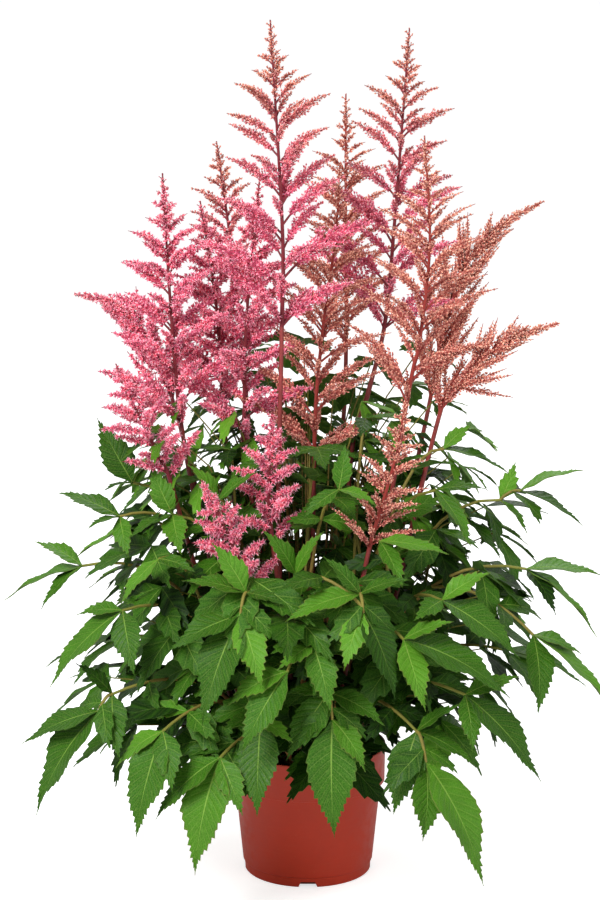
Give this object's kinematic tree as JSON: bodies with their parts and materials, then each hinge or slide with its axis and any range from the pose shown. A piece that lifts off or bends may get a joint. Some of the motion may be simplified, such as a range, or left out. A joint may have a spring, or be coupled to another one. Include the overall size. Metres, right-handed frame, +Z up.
{
  "type": "potted astilbe plant",
  "caption": "Flowering astilbe in a round nursery pot: feathery pink and salmon plumes on dark red stems above toothed compound leaves.",
  "frame": {"origin": "middle of the pot's flat underside, on the surface that the pot stands on", "axes": "+Z up along the pot's axis; -Y is the plant's front and +X its right-hand side seen from the front"},
  "size_m": [0.58, 0.4996, 0.835],
  "materials": {
    "pot": "satin",
    "soil": "matte",
    "stem": "satin",
    "leaf": "satin",
    "florets_pink": "matte",
    "florets_rose": "matte",
    "florets_salmon": "matte"
  },
  "bodies": {
    "root": {"pot": "pot", "soil": "soil", "stem_tall_left_of_centre": "stem", "plume_tall_left_of_centre": "florets_rose", "stem_tall_right": "stem", "plume_tall_right": "florets_rose", "stem_left_high": "stem", "plume_left_high": "florets_pink", "stem_left_back": "stem", "plume_left_back": "florets_rose", "stem_left_inner": "stem", "plume_left_inner": "florets_pink", "stem_centre_left": "stem", "plume_centre_left": "florets_pink", "stem_far_left_leaning": "stem", "plume_far_left_leaning": "florets_pink", "stem_centre_back": "stem", "plume_centre_back": "florets_salmon", "stem_centre_right": "stem", "plume_centre_right": "florets_salmon", "stem_right_inner": "stem", "plume_right_inner": "florets_salmon", "stem_right_leaning_high": "stem", "plume_right_leaning_high": "florets_salmon", "stem_right_leaning_low": "stem", "plume_right_leaning_low": "florets_salmon", "stem_front_right_small": "stem", "plume_front_right_small": "florets_salmon", "stem_front_centre_small": "stem", "plume_front_centre_small": "florets_pink", "stem_front_left_low": "stem", "plume_front_left_low": "florets_pink", "stem_left_small": "stem", "plume_left_small": "florets_pink", "leaf_01": "leaf", "leaf_02": "leaf", "leaf_03": "leaf", "leaf_04": "leaf", "leaf_05": "leaf", "leaf_06": "leaf", "leaf_07": "leaf", "leaf_08": "leaf", "leaf_09": "leaf", "leaf_10": "leaf", "leaf_11": "leaf", "leaf_12": "leaf", "leaf_13": "leaf", "leaf_14": "leaf", "leaf_15": "leaf", "leaf_16": "leaf", "leaf_17": "leaf", "leaf_18": "leaf", "leaf_19": "leaf", "leaf_20": "leaf", "leaf_21": "leaf", "leaf_22": "leaf", "leaf_23": "leaf", "leaf_24": "leaf", "leaf_25": "leaf", "leaf_26": "leaf"}
  },
  "joints": []
}
